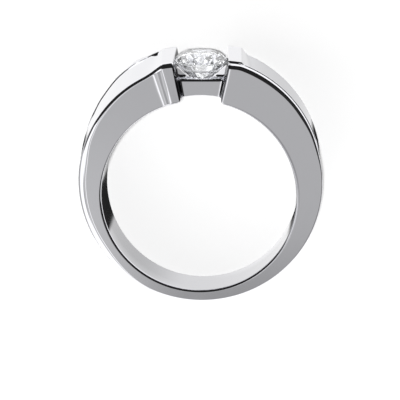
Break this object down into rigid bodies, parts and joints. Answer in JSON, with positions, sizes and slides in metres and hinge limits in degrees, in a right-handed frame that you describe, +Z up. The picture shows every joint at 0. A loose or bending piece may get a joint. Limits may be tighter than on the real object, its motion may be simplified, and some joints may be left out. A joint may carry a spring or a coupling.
{
  "type": "bar set ring",
  "caption": "Polished white gold bypass band lying on its side, its shoulders ending in two bars that grip one round brilliant stone.",
  "frame": {"origin": "middle of the finger hole, on its axis, halfway between the ring's two sides", "axes": "+Z up with the ring lying on its side, about 4.5 degrees off the finger hole's axis; +Y points from the finger hole to the stone; +X across"},
  "size_m": [0.022, 0.0222, 0.0091],
  "materials": {
    "white_gold": "mirror-polished white gold",
    "brilliant": "clear cut stone"
  },
  "bodies": {
    "root": {"ring_band": "white_gold", "stone": "brilliant"}
  },
  "joints": []
}
